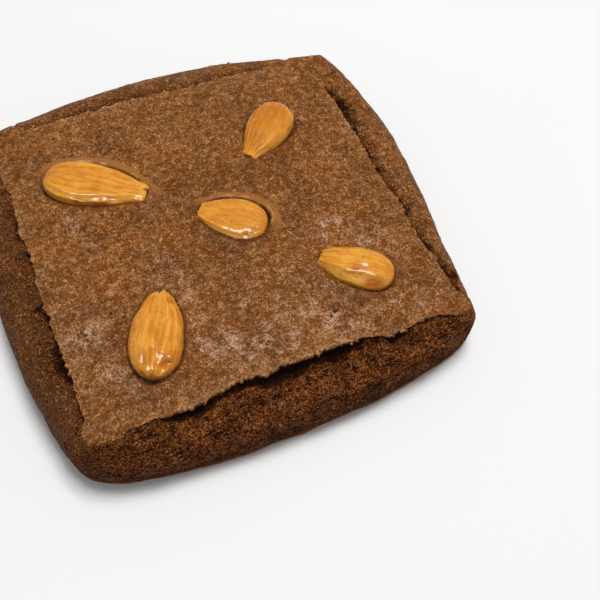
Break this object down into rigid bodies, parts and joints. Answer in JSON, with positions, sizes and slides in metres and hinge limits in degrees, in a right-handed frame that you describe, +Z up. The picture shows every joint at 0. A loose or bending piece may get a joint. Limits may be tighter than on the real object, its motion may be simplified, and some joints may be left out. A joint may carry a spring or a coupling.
{
  "type": "speculaas cookie",
  "caption": "Thick square spiced cookie, baked brown, with a smooth cracked top crust, a bulging crumbly side and almonds set into the top.",
  "frame": {"origin": "middle of the footprint, on the flat underside", "axes": "+Z up through the top crust, -Y towards the front side with the widest tear, +X to the right"},
  "size_m": [0.112, 0.1114, 0.0205],
  "materials": {
    "baked_dough": "satin baked crust with a rough crumb side",
    "almond": "glazed roasted almond"
  },
  "bodies": {
    "root": {"cookie": "baked_dough", "almond_back_left": "almond", "almond_back_right": "almond", "almond_centre": "almond", "almond_front_right": "almond", "almond_front_left": "almond"}
  },
  "joints": []
}
